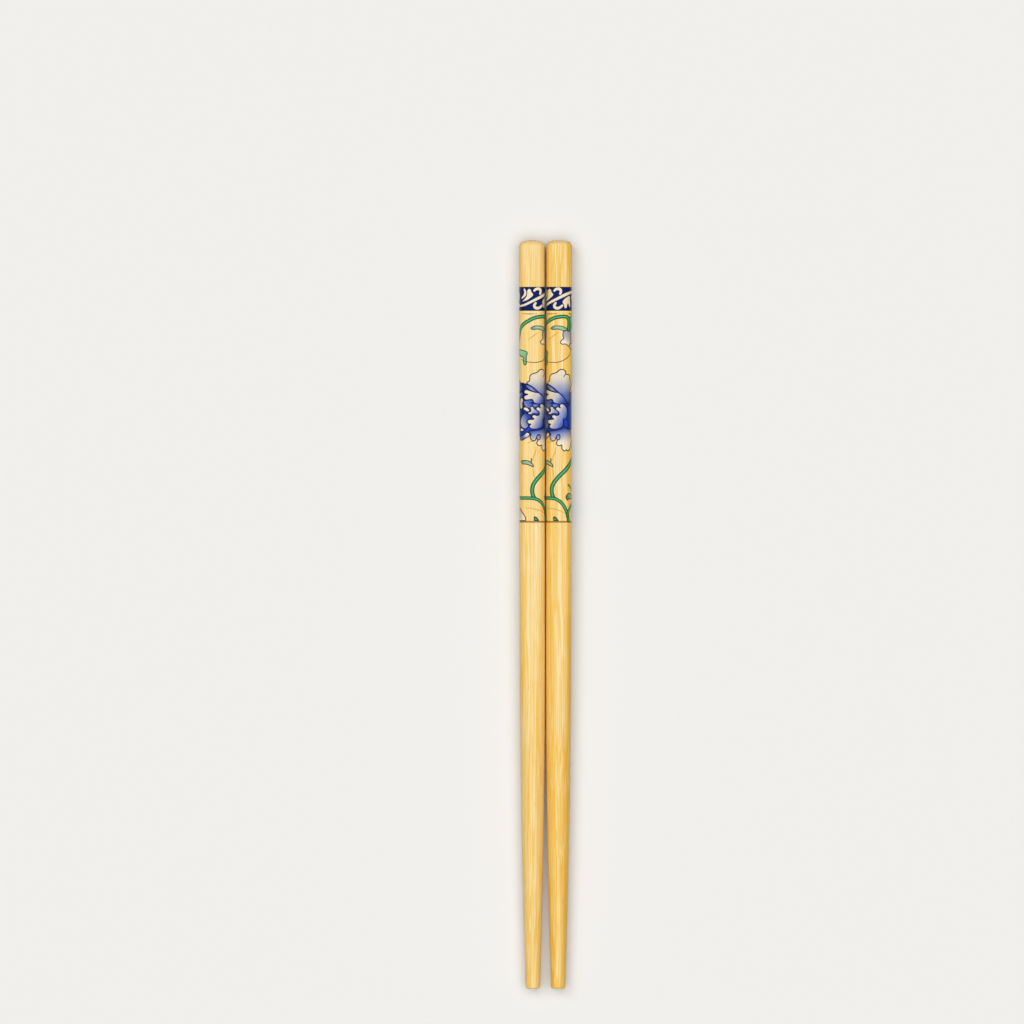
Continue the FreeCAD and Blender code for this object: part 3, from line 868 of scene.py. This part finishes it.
# One stick as a closed mesh in the pair's frame, with its print
def makeStick(name, side, shift):
    stops = ringStops()
    count = len(stops)
    lengths = [stopLength(stop) % perimeter for stop in stops]
    vertexOf, places, normals = {}, [], []
    faces, uvs, ink = [], [], []
    bare = (0.0, 0.0, 0.0, 0.0)

    def addVertex(key, across, distance, up, normal):
        if key not in vertexOf:
            vertexOf[key] = len(places)
            places.append(placed(side, across, distance, up))
            normals.append(normal.normalized())
        return vertexOf[key]

    def surfaceVertex(stop, length, distance):
        point, normal = surfacePoint(stop, distance)
        slope = (halfWidth(distance - 1.0) - halfWidth(distance + 1.0)) / 2.0    # over a millimetre each way
        key = (round(length % perimeter, 4), round(distance, 4))
        along = Vector((normal.x, -slope, normal.y))
        return addVertex(key, point.x, distance, point.y, along)

    def surfaceRow(distance):
        return [surfaceVertex(stop, length, distance) for stop, length in zip(stops, lengths)]

    def addFace(corners, flats, colours):
        faces.append(corners)
        uvs.append(flats)
        ink.append(colours)

    # A band between two rows of vertices, of which the lower one is nearer the tip
    def addBand(upper, lower, part, upperAlong, lowerAlong):
        for k in range(count):
            following = (k + 1) % count
            left = lengths[k] / perimeter
            right = lengths[following] / perimeter if following else 1.0
            addFace((upper[k], lower[k], lower[following], upper[following]),
                    (mapped(part, left, upperAlong), mapped(part, left, lowerAlong),
                     mapped(part, right, lowerAlong), mapped(part, right, upperAlong)), (bare,) * 4)

    # A ring of an end, and its places on the map, as seen along the stick
    def endRing(part, ring, half, scale, inset, distanceOf, normalOf):
        row, flat = [], []
        width = stick["handleWidth"]
        corner, ground = (stick["cornerRadius"], 0.0) if part == "handleCap" else (half, 1.0)
        for k, stop in enumerate(stops):
            point, normal = sectionPoint(stop, half - inset, corner - inset, ground)
            point = point * scale
            distance = distanceOf(point.length)
            row.append(addVertex((part, ring, k), point.x, distance, point.y, normalOf(point, normal)))
            flat.append(mapped(part, 0.5 + point.x / width, 0.5 - point.y / width))
        return row, flat

    # An end's faces from its outer ring to its middle; way is 1 at the handle and -1 at the tip
    def addEnd(part, rings, way, distance):
        for (outer, outerFlat), (inner, innerFlat) in zip(rings, rings[1:]):
            for k in range(count):
                n = (k + 1) % count
                corners = (outer[k], outer[n], inner[n], inner[k])
                flats = (outerFlat[k], outerFlat[n], innerFlat[n], innerFlat[k])
                addFace(corners[::way], flats[::way], (bare,) * 4)
        inner, innerFlat = rings[-1]
        middle = addVertex((part, "middle"), 0.0, distance, 0.0, Vector((0, way, 0)))
        for k in range(count):
            n = (k + 1) % count
            corners = (inner[k], inner[n], middle)
            flats = (innerFlat[k], innerFlat[n], mapped(part, 0.5, 0.5))
            addFace(corners[::way], flats[::way], (bare,) * 3)

    # the handle end: a dome with a tumbled edge
    dome, edge, steps = stick["domeRadius"], stick["handleEdge"], stick["edgeSteps"]

    def drop(radius):
        return dome - math.sqrt(dome * dome - radius * radius)

    def domeNormal(point):
        return Vector((point.x / dome, math.sqrt(1.0 - (point.length / dome) ** 2), point.y / dome))

    handleRings = []
    for ring in range(steps + 1):
        angle = math.pi / 2.0 * ring / steps
        handleRings.append(endRing(
            "handleCap", ring, stick["handleWidth"] / 2.0, 1.0, edge * (1.0 - math.cos(angle)),
            lambda radius, angle=angle: edge * (1.0 - math.sin(angle)) + drop(radius),
            lambda point, normal, angle=angle:
                Vector((normal.x, 0.0, normal.y)) * math.cos(angle) + domeNormal(point) * math.sin(angle)))
    for ring, scale in enumerate(stick["domeRings"]):
        handleRings.append(endRing("handleCap", steps + 1 + ring, stick["handleWidth"] / 2.0, scale, edge,
                                   drop, lambda point, normal: domeNormal(point)))
    addEnd("handleCap", handleRings, 1, 0.0)

    # bare wood above the print
    top, end = printArea["top"] - printArea["margin"], printArea["end"] + printArea["margin"]
    upper, upperAlong = handleRings[0][0], 0.0
    for distance in (*stick["handleRings"], top):
        lower = surfaceRow(distance)
        addBand(upper, lower, "handleEnd", upperAlong, distance / top)
        upper, upperAlong = lower, distance / top

    # the print
    film, triangles, filmInk = cutFilm(shift, top, end)
    for triangle, colours in zip(triangles, filmInk):
        corners = [surfaceVertex(stopAt(film[i][0]), film[i][0], film[i][1]) for i in triangle]
        if len(set(corners)) < 3:
            continue
        flats = [mapped("print", film[i][0] / perimeter, (film[i][1] - top) / (end - top)) for i in triangle]
        addFace(tuple(corners[::-1]), tuple(flats[::-1]), tuple(map(tuple, colours[::-1])))

    # bare wood from the print to the tip
    tipEdge = stick["tipEdge"]
    last = stick["length"] - tipEdge
    rows = math.ceil((last - end) / stick["ringSpacing"])
    upper, upperAlong = surfaceRow(end), 0.0
    tipRings = []
    tipHalf = halfWidth(last)
    for ring in range(steps + 1):
        angle = math.pi / 2.0 * ring / steps
        tipRings.append(endRing(
            "tipCap", ring, tipHalf, 1.0, tipEdge * (1.0 - math.cos(angle)),
            lambda radius, angle=angle: last + tipEdge * math.sin(angle),
            lambda point, normal, angle=angle:
                Vector((normal.x * math.cos(angle), -math.sin(angle), normal.y * math.cos(angle)))))
    tipRings.append(endRing("tipCap", steps + 1, tipHalf, stick["tipRing"], tipEdge,
                            lambda radius: stick["length"], lambda point, normal: Vector((0.0, -1.0, 0.0))))
    for row in range(1, rows + 1):
        distance = end + (last - end) * row / rows
        lower = surfaceRow(distance) if row < rows else tipRings[0][0]
        addBand(upper, lower, "shaft", upperAlong, row / rows)
        upper, upperAlong = lower, row / rows
    addEnd("tipCap", tipRings, -1, stick["length"])
    return makeMesh(name, side, places, normals, faces, uvs, ink)


# The object from its points and faces, with its map for baking, its ink, the mask of its painted corner
# shade, its end tone and its normals
def makeMesh(name, side, places, normals, faces, uvs, ink):
    mesh = bpy.data.meshes.new(name)
    mesh.from_pydata(places, [], faces)
    layer = mesh.uv_layers.new(name="OFBake")
    layer.data.foreach_set("uv", [value for face in uvs for place in face for value in place])
    colour = mesh.color_attributes.new("printInk", "FLOAT_COLOR", "CORNER")
    colour.data.foreach_set("color", [value for face in ink for corner in face for value in corner])
    # the mask of the painted shade on the rounded corners, and how far the surface turns to the ends
    for tone, toneOf in (("cornerShadeMask", cornerShadeMask), ("endTone", endTone)):
        values = mesh.attributes.new(tone, "FLOAT", "POINT")
        values.data.foreach_set("value", [toneOf(normal) for normal in normals])
    normalOf = mesh.attributes.new("surfaceNormal", "FLOAT_VECTOR", "POINT")
    normalOf.data.foreach_set("vector", [value for normal in normals for value in turnedNormal(side, normal)])
    weldSeam(mesh)
    made = bpy.data.objects.new(name, mesh)
    bpy.context.scene.collection.objects.link(made)
    print(name + ":", len(mesh.vertices), "points,", len(mesh.polygons), "faces")
    return made


# Joins the points that meet, and shades the mesh by the normals of the true surface
def weldSeam(mesh):
    welded = bmesh.new()
    welded.from_mesh(mesh)
    bmesh.ops.remove_doubles(welded, verts=welded.verts, dist=weldDistance)
    openEdges = sum(not edge.is_manifold for edge in welded.edges)
    welded.to_mesh(mesh)
    welded.free()
    if openEdges:
        print("edges that don't close:", openEdges)
    mesh.shade_smooth()
    stored = mesh.attributes["surfaceNormal"]
    normals = [tuple(item.vector) for item in stored.data]
    mesh.attributes.remove(stored)
    mesh.normals_split_custom_set_from_vertices(normals)


# Mask of the painted shade on the rounded corners: 0 in the middle of a flat side, 1 in the middle of a
# rounded corner
def cornerShadeMask(normal):
    return min(1.0, 2.0 * abs(normal.x * normal.z))


# 0 along the stick, 1 on its two ends
def endTone(normal):
    return normal.y * normal.y


def turnedNormal(side, normal):
    across = normal.x + side * lean * normal.y
    along = normal.y - side * lean * normal.x
    return Vector((across, along, normal.z)).normalized()


# Bamboo: long pale and amber streaks, fine fibres and short dark dashes, all running along the stick

bamboo = {
    "pale": (255, 238, 194),
    "middle": (252, 221, 152),
    "deep": (244, 194, 78),
    "fibre": (182, 122, 40),
    # painted warm shade on the rounded corners, multiplied into the colour there
    "cornerShadeColour": (252, 226, 112),
    "cornerShadeInInk": 0.65,          # share of the painted corner shade that shows in the ink
    "grainInInk": 0.16,
    "roughness": 0.44,
    "inkRoughness": 0.34,
    "roughnessSpan": 0.10,        # how much the streaks change it
    "specular": 0.3,
    "coat": 0.06,
    "coatRoughness": 0.28,
    "bumpStrength": 0.22,
    "bumpDistance": 0.00012,
}

# The cut ends; spacing in metres, and how far from its middle a dot starts and is full, as shares of it
endGrain = {
    "ground": (246, 212, 142),
    "dot": (176, 124, 62),
    "spacing": 0.00066,
    "randomness": 0.75,
    "dotEdge": (0.36, 0.20),
    "startsAt": (0.3, 0.8),       # how far the surface has turned to the end where it starts and is full
}

# Streaks of the grain: how many per metre across and along the stick, the detail of the noise,
# and the noise values at which a streak starts and is full
grain = {
    "broad": (210.0, 5.0, 2.0, 0.30, 0.70),
    "streaks": (1500.0, 10.0, 3.0, 0.36, 0.66),
    "fibres": (4600.0, 30.0, 2.0, 0.34, 0.68),
    "dashes": (4300.0, 210.0, 1.0, 0.70, 0.79),
    "paleBands": (3100.0, 19.0, 1.5, 0.50, 0.59),
    "goldBands": (3400.0, 12.0, 1.5, 0.50, 0.62),
}

# How much of each streak shows in the colour
grainShare = {
    "broad": 0.45,
    "streaks": 0.5,
    "fibres": 0.3,
    "dashes": 0.4,
    "paleBands": 0.78,
    "goldBands": 0.72,
}

grainDetail = {
    "noiseRoughness": 0.55,
    "goldMiddle": 0.4,                    # the Gold value that leaves the tone as it is
    "dashDepth": 0.8,                     # how far the dashes are sunk, against the fibres
    "wanderScale": (70.0, 22.0, 70.0),    # swaying of the grain, turns per metre
    "wanderReach": (0.0022, 0.0, 0.0022),
    "wanderDetail": 2.0,
}

# How the two sticks differ: where their grain is taken from, how golden it is, and how strong the painted
# shade on their corners is
woodOfStick = {
    "bamboo_pale": {"shift": 0.0, "gold": 0.12, "corner": 0.4},
    "bamboo_golden": {"shift": 0.37, "gold": 0.5, "corner": 0.72},
}


# Sets inputs by name or number, each to a value or to another node's output
def setInputs(tree, node, inputs):
    for socket, value in inputs.items():
        if isinstance(value, bpy.types.NodeSocket):
            tree.links.new(value, node.inputs[socket])
        else:
            node.inputs[socket].default_value = value


def newNode(tree, kind, place, inputs=None, **settings):
    made = tree.nodes.new(kind)
    made.location = place
    for key, value in settings.items():
        setattr(made, key, value)
    setInputs(tree, made, inputs or {})
    return made


# A colour mix; 0, 6 and 7 are its factor and its two colours
def newMix(tree, place, factor, first, second, blend="MIX"):
    inputs = {0: factor, 6: first, 7: second}
    return newNode(tree, "ShaderNodeMix", place, inputs, data_type="RGBA", blend_type=blend).outputs[2]


def newMath(tree, place, operation, first, second, clamp=False):
    made = newNode(tree, "ShaderNodeMath", place, {0: first, 1: second}, operation=operation, use_clamp=clamp)
    return made.outputs[0]


def newVectorMath(tree, place, operation, *vectors):
    made = newNode(tree, "ShaderNodeVectorMath", place, dict(enumerate(vectors)), operation=operation)
    return made.outputs["Vector"]


def newGroup(name, inputs, outputs):
    tree = bpy.data.node_groups.new(name, "ShaderNodeTree")
    for direction, sockets in (("INPUT", inputs), ("OUTPUT", outputs)):
        for socket, kind in sockets.items():
            tree.interface.new_socket(name=socket, in_out=direction, socket_type="NodeSocket" + kind)
    return tree


# Noise drawn out along the stick
def newStreaks(tree, coordinates, place, kind):
    across, along, detail, low, high = grain[kind]
    mapping = newNode(tree, "ShaderNodeMapping", place,
                      {"Vector": coordinates, "Scale": (across, along, across)})
    noise = newNode(tree, "ShaderNodeTexNoise", (place[0] + 200, place[1]), {
        "Vector": mapping.outputs["Vector"],
        "Scale": 1.0,
        "Detail": detail,
        "Roughness": grainDetail["noiseRoughness"],
    })
    spread = newNode(tree, "ShaderNodeMapRange", (place[0] + 400, place[1]),
                     {"Value": noise.outputs["Fac"], "From Min": low, "From Max": high})
    return spread.outputs["Result"]


# Sways the grain a little from side to side along the stick
def addWander(tree, place):
    mapping = newNode(tree, "ShaderNodeMapping", (-1450, -200),
                      {"Vector": place, "Scale": grainDetail["wanderScale"]})
    noise = newNode(tree, "ShaderNodeTexNoise", (-1300, -200), {
        "Vector": mapping.outputs["Vector"],
        "Scale": 1.0,
        "Detail": grainDetail["wanderDetail"],
    })
    centred = newVectorMath(tree, (-1200, -200), "SUBTRACT", noise.outputs["Color"], (0.5, 0.5, 0.5))
    return newVectorMath(tree, (-1200, 0), "MULTIPLY_ADD", centred, grainDetail["wanderReach"], place)


def makeBambooGroup():
    tree = newGroup("bambooGrain",
                    {"Shift": "Float", "Gold": "Float", "Pale": "Color", "Middle": "Color", "Deep": "Color",
                     "Fibre": "Color"},
                    {"Color": "Color", "Height": "Float", "Gloss": "Float", "Fibres": "Float"})
    given = newNode(tree, "NodeGroupInput", (-1800, 0)).outputs
    coordinates = newNode(tree, "ShaderNodeTexCoord", (-1800, 300)).outputs["Object"]
    place = addWander(tree, newVectorMath(tree, (-1600, 200), "ADD", coordinates, given["Shift"]))
    streak = {kind: newStreaks(tree, place, (-1000, 600 - 300 * i), kind) for i, kind in enumerate(grain)}

    def shareOf(kind, spot):
        return newMath(tree, spot, "MULTIPLY", streak[kind], grainShare[kind])

    separate = newNode(tree, "ShaderNodeSeparateXYZ", (-600, 900), {0: coordinates})
    towardsTip = newMath(tree, (-400, 900), "MULTIPLY", separate.outputs["Y"], -1.0)   # golder to the tip
    tone = newMath(tree, (-300, 500), "ADD", shareOf("broad", (-400, 600)), shareOf("streaks", (-400, 400)))
    tone = newMath(tree, (-250, 700), "ADD", tone, towardsTip)
    golden = newMath(tree, (-400, 200), "SUBTRACT", given["Gold"], grainDetail["goldMiddle"])
    tone = newMath(tree, (-200, 500), "ADD", tone, golden)
    tone = newMath(tree, (-100, 500), "MAXIMUM", tone, 0.0, clamp=True)
    colour = newMix(tree, (0, 400), tone, given["Middle"], given["Deep"])
    layers = (("goldBands", "Deep"), ("paleBands", "Pale"), ("fibres", "Deep"), ("dashes", "Fibre"))
    for i, (kind, shade) in enumerate(layers):
        amount = shareOf(kind, (100 + 200 * i, 200))
        colour = newMix(tree, (200 + 200 * i, 400), amount, colour, given[shade])
    sunk = newMath(tree, (200, -100), "MULTIPLY", streak["dashes"], grainDetail["dashDepth"])
    newNode(tree, "NodeGroupOutput", (1200, 200), {
        "Color": colour,
        "Height": newMath(tree, (400, -100), "SUBTRACT", streak["fibres"], sunk),
        "Gloss": newMath(tree, (400, -300), "MULTIPLY", streak["streaks"], bamboo["roughnessSpan"]),
        "Fibres": streak["fibres"],
    })
    return tree


# The cut ends: bundles of fibres seen end on, as dots in paler wood
def makeEndGroup():
    tree = newGroup("bambooEnd", {"Ground": "Color", "Dot": "Color"}, {"Color": "Color"})
    given = newNode(tree, "NodeGroupInput", (-800, -200)).outputs
    coordinates = newNode(tree, "ShaderNodeTexCoord", (-1000, 0)).outputs["Object"]
    cells = newNode(tree, "ShaderNodeTexVoronoi", (-600, 0), {
        "Vector": newVectorMath(tree, (-800, 0), "MULTIPLY", coordinates, (1.0, 0.0, 1.0)),
        "Scale": 1.0 / endGrain["spacing"],
        "Randomness": endGrain["randomness"],
    })
    edge, full = endGrain["dotEdge"]
    dot = newNode(tree, "ShaderNodeMapRange", (-400, 0),
                  {"Value": cells.outputs["Distance"], "From Min": edge, "From Max": full})
    colour = newMix(tree, (-200, 0), dot.outputs["Result"], given["Ground"], given["Dot"])
    newNode(tree, "NodeGroupOutput", (0, 0), {"Color": colour})
    return tree


def newAttribute(tree, place, name):
    return newNode(tree, "ShaderNodeAttribute", place, attribute_name=name).outputs


def makePrintedBamboo(slot, grainGroup, endGroup):
    own = woodOfStick[slot]
    material = bpy.data.materials.new(slot)
    material.use_nodes = True
    tree = material.node_tree
    streaked = newNode(tree, "ShaderNodeGroup", (-900, 200), node_tree=grainGroup)
    setInputs(tree, streaked, {"Shift": own["shift"], "Gold": own["gold"]})
    for name in ("Pale", "Middle", "Deep", "Fibre"):
        setInputs(tree, streaked, {name: toLinear(bamboo[name.lower()])})
    endWood = newNode(tree, "ShaderNodeGroup", (-900, 900), node_tree=endGroup)
    for name in ("Ground", "Dot"):
        setInputs(tree, endWood, {name: toLinear(endGrain[name.lower()])})
    ink = newAttribute(tree, (-900, -200), "printInk")
    # mask of the painted shade on the rounded corners
    corner = newAttribute(tree, (-900, 500), "cornerShadeMask")
    end = newAttribute(tree, (-900, 700), "endTone")
    # the wood, with the end grain on the two ends
    startsAt, fullAt = endGrain["startsAt"]
    endFactor = newNode(tree, "ShaderNodeMapRange", (-700, 700),
                        {"Value": end["Fac"], "From Min": startsAt, "From Max": fullAt})
    wood = newMix(tree, (-600, 400), endFactor.outputs["Result"], streaked.outputs["Color"],
                  endWood.outputs["Color"])
    # the ink over it, with a little of the grain
    grainAmount = newMath(tree, (-750, 0), "MULTIPLY", streaked.outputs["Fibres"], bamboo["grainInInk"])
    grainedInk = newMix(tree, (-600, 100), grainAmount, ink["Color"], toLinear(bamboo["deep"]), "MULTIPLY")
    printed = newMix(tree, (-450, 200), ink["Alpha"], wood, grainedInk)
    # painted warm shade on the rounded corners, less of it in the ink
    covered = newMath(tree, (-650, 850), "MULTIPLY", ink["Alpha"], 1.0 - bamboo["cornerShadeInInk"])
    bare = newMath(tree, (-650, 700), "SUBTRACT", 1.0, covered)
    cornerShadeAmount = newMath(tree, (-550, 700), "MULTIPLY", corner["Fac"], bare)
    cornerShadeAmount = newMath(tree, (-450, 600), "MULTIPLY", cornerShadeAmount, own["corner"])
    shaded = newMix(tree, (-250, 200), cornerShadeAmount, printed, toLinear(bamboo["cornerShadeColour"]), "MULTIPLY")
    # satin wood, and smoother ink
    satin = bamboo["roughness"] - bamboo["roughnessSpan"] / 2.0
    woodRoughness = newMath(tree, (-600, 0), "ADD", streaked.outputs["Gloss"], satin)
    smoother = bamboo["roughness"] - bamboo["inkRoughness"]
    smoother = newMath(tree, (-500, -350), "MULTIPLY", ink["Alpha"], smoother)
    bump = newNode(tree, "ShaderNodeBump", (-350, -300), {
        "Strength": bamboo["bumpStrength"],
        "Distance": bamboo["bumpDistance"],
        "Height": streaked.outputs["Height"],
    })
    setInputs(tree, tree.nodes["Principled BSDF"], {
        "Base Color": shaded,
        "Roughness": newMath(tree, (-350, 0), "SUBTRACT", woodRoughness, smoother),
        "Normal": bump.outputs["Normal"],
        "Specular IOR Level": bamboo["specular"],
        "Coat Weight": bamboo["coat"],
        "Coat Roughness": bamboo["coatRoughness"],
    })
    return material


# Studio, in metres and degrees

studio = {
    "cameraHeight": 3.0,
    "frameWidth": 0.3147,      # at half the handle's height
    "cameraAcross": -0.0103,   # from the pair's middle
    "cameraAlong": 0.0315,
    "sensorWidth": 36.0,
    "overheadStrength": 2.54,
    "overheadAngle": 76.0,
    "sideStrength": 0.34,
    "sideAngle": 25.0,
    "sideTilt": 42.0,          # from straight above
    "tiltShares": (0.6, 0.8),  # towards the handle ends and towards the left
    "worldStrength": 0.12,
    "worldColour": (1.0, 0.99, 0.975, 1.0),
    "floorColour": (0.87, 0.86, 0.84, 1.0),
    "floorBounce": (0.54, 0.52, 0.48, 1.0),     # what the floor throws back on the sticks
    "floorRoughness": 0.9,
    "floorSpecular": 0.1,
    "floorSize": 8.0,
    "floorDrop": 0.00002,      # keeps the floor just clear of the sticks
}


def makeFloor():
    mesh = bpy.data.meshes.new("studioFloor")
    half = studio["floorSize"] / 2.0
    corners = [(-half, -half, 0), (half, -half, 0), (half, half, 0), (-half, half, 0)]
    mesh.from_pydata(corners, [], [(0, 1, 2, 3)])
    floor = bpy.data.objects.new("studioFloor", mesh)
    bpy.context.scene.collection.objects.link(floor)
    floor.location.z = -studio["floorDrop"]
    material = bpy.data.materials.new("studioPaper")
    material.use_nodes = True
    tree = material.node_tree
    path = newNode(tree, "ShaderNodeLightPath", (-900, 200)).outputs
    seen = newMath(tree, (-700, 200), "ADD", path["Is Camera Ray"], path["Is Glossy Ray"])
    seen = newMath(tree, (-500, 200), "ADD", seen, path["Is Transmission Ray"], clamp=True)
    setInputs(tree, tree.nodes["Principled BSDF"], {
        "Base Color": newMix(tree, (-300, 200), seen, studio["floorBounce"], studio["floorColour"]),
        "Roughness": studio["floorRoughness"],
        "Specular IOR Level": studio["floorSpecular"],
    })
    mesh.materials.append(material)


def makeLamp(name, strength, angle, tilt, shine):
    lamp = bpy.data.lights.new(name, "SUN")
    lamp.energy = strength
    lamp.angle = math.radians(angle)
    made = bpy.data.objects.new(name, lamp)
    towardsEnds, towardsLeft = studio["tiltShares"]
    made.rotation_euler = (math.radians(-tilt * towardsEnds), math.radians(-tilt * towardsLeft), 0.0)
    made.visible_glossy = shine
    bpy.context.scene.collection.objects.link(made)


# A wide lamp overhead that gives no shine, a smaller one from the side that does, and a pale room
def makeLight():
    makeLamp("softOverhead", studio["overheadStrength"], studio["overheadAngle"], 0.0, False)
    makeLamp("softSide", studio["sideStrength"], studio["sideAngle"], studio["sideTilt"], True)
    world = bpy.data.worlds.new("studioRoom")
    bpy.context.scene.world = world
    world.use_nodes = True
    setInputs(world.node_tree, world.node_tree.nodes["Background"],
              {"Color": studio["worldColour"], "Strength": studio["worldStrength"]})


def makeCamera():
    data = bpy.data.cameras.new("photoCamera")
    data.sensor_width = studio["sensorWidth"]
    height = studio["cameraHeight"]
    data.lens = studio["sensorWidth"] * height / studio["frameWidth"]
    camera = bpy.data.objects.new("photoCamera", data)
    overTable = height + stick["handleWidth"] * mm / 2.0
    camera.location = (studio["cameraAcross"], studio["cameraAlong"], overTable)
    bpy.context.scene.collection.objects.link(camera)
    bpy.context.scene.camera = camera
    print("studio: floor, two lamps and the camera")


bpy.context.scene.view_settings.view_transform = "Standard"
drawFilm()
bambooGroup = makeBambooGroup()
endGroup = makeEndGroup()
for each in sticks:
    made = makeStick(each["name"], each["side"], each["printShift"])
    made.data.materials.append(makePrintedBamboo(each["slot"], bambooGroup, endGroup))
    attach(made, "root")
    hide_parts(each["node"])
makeFloor()
makeLight()
makeCamera()
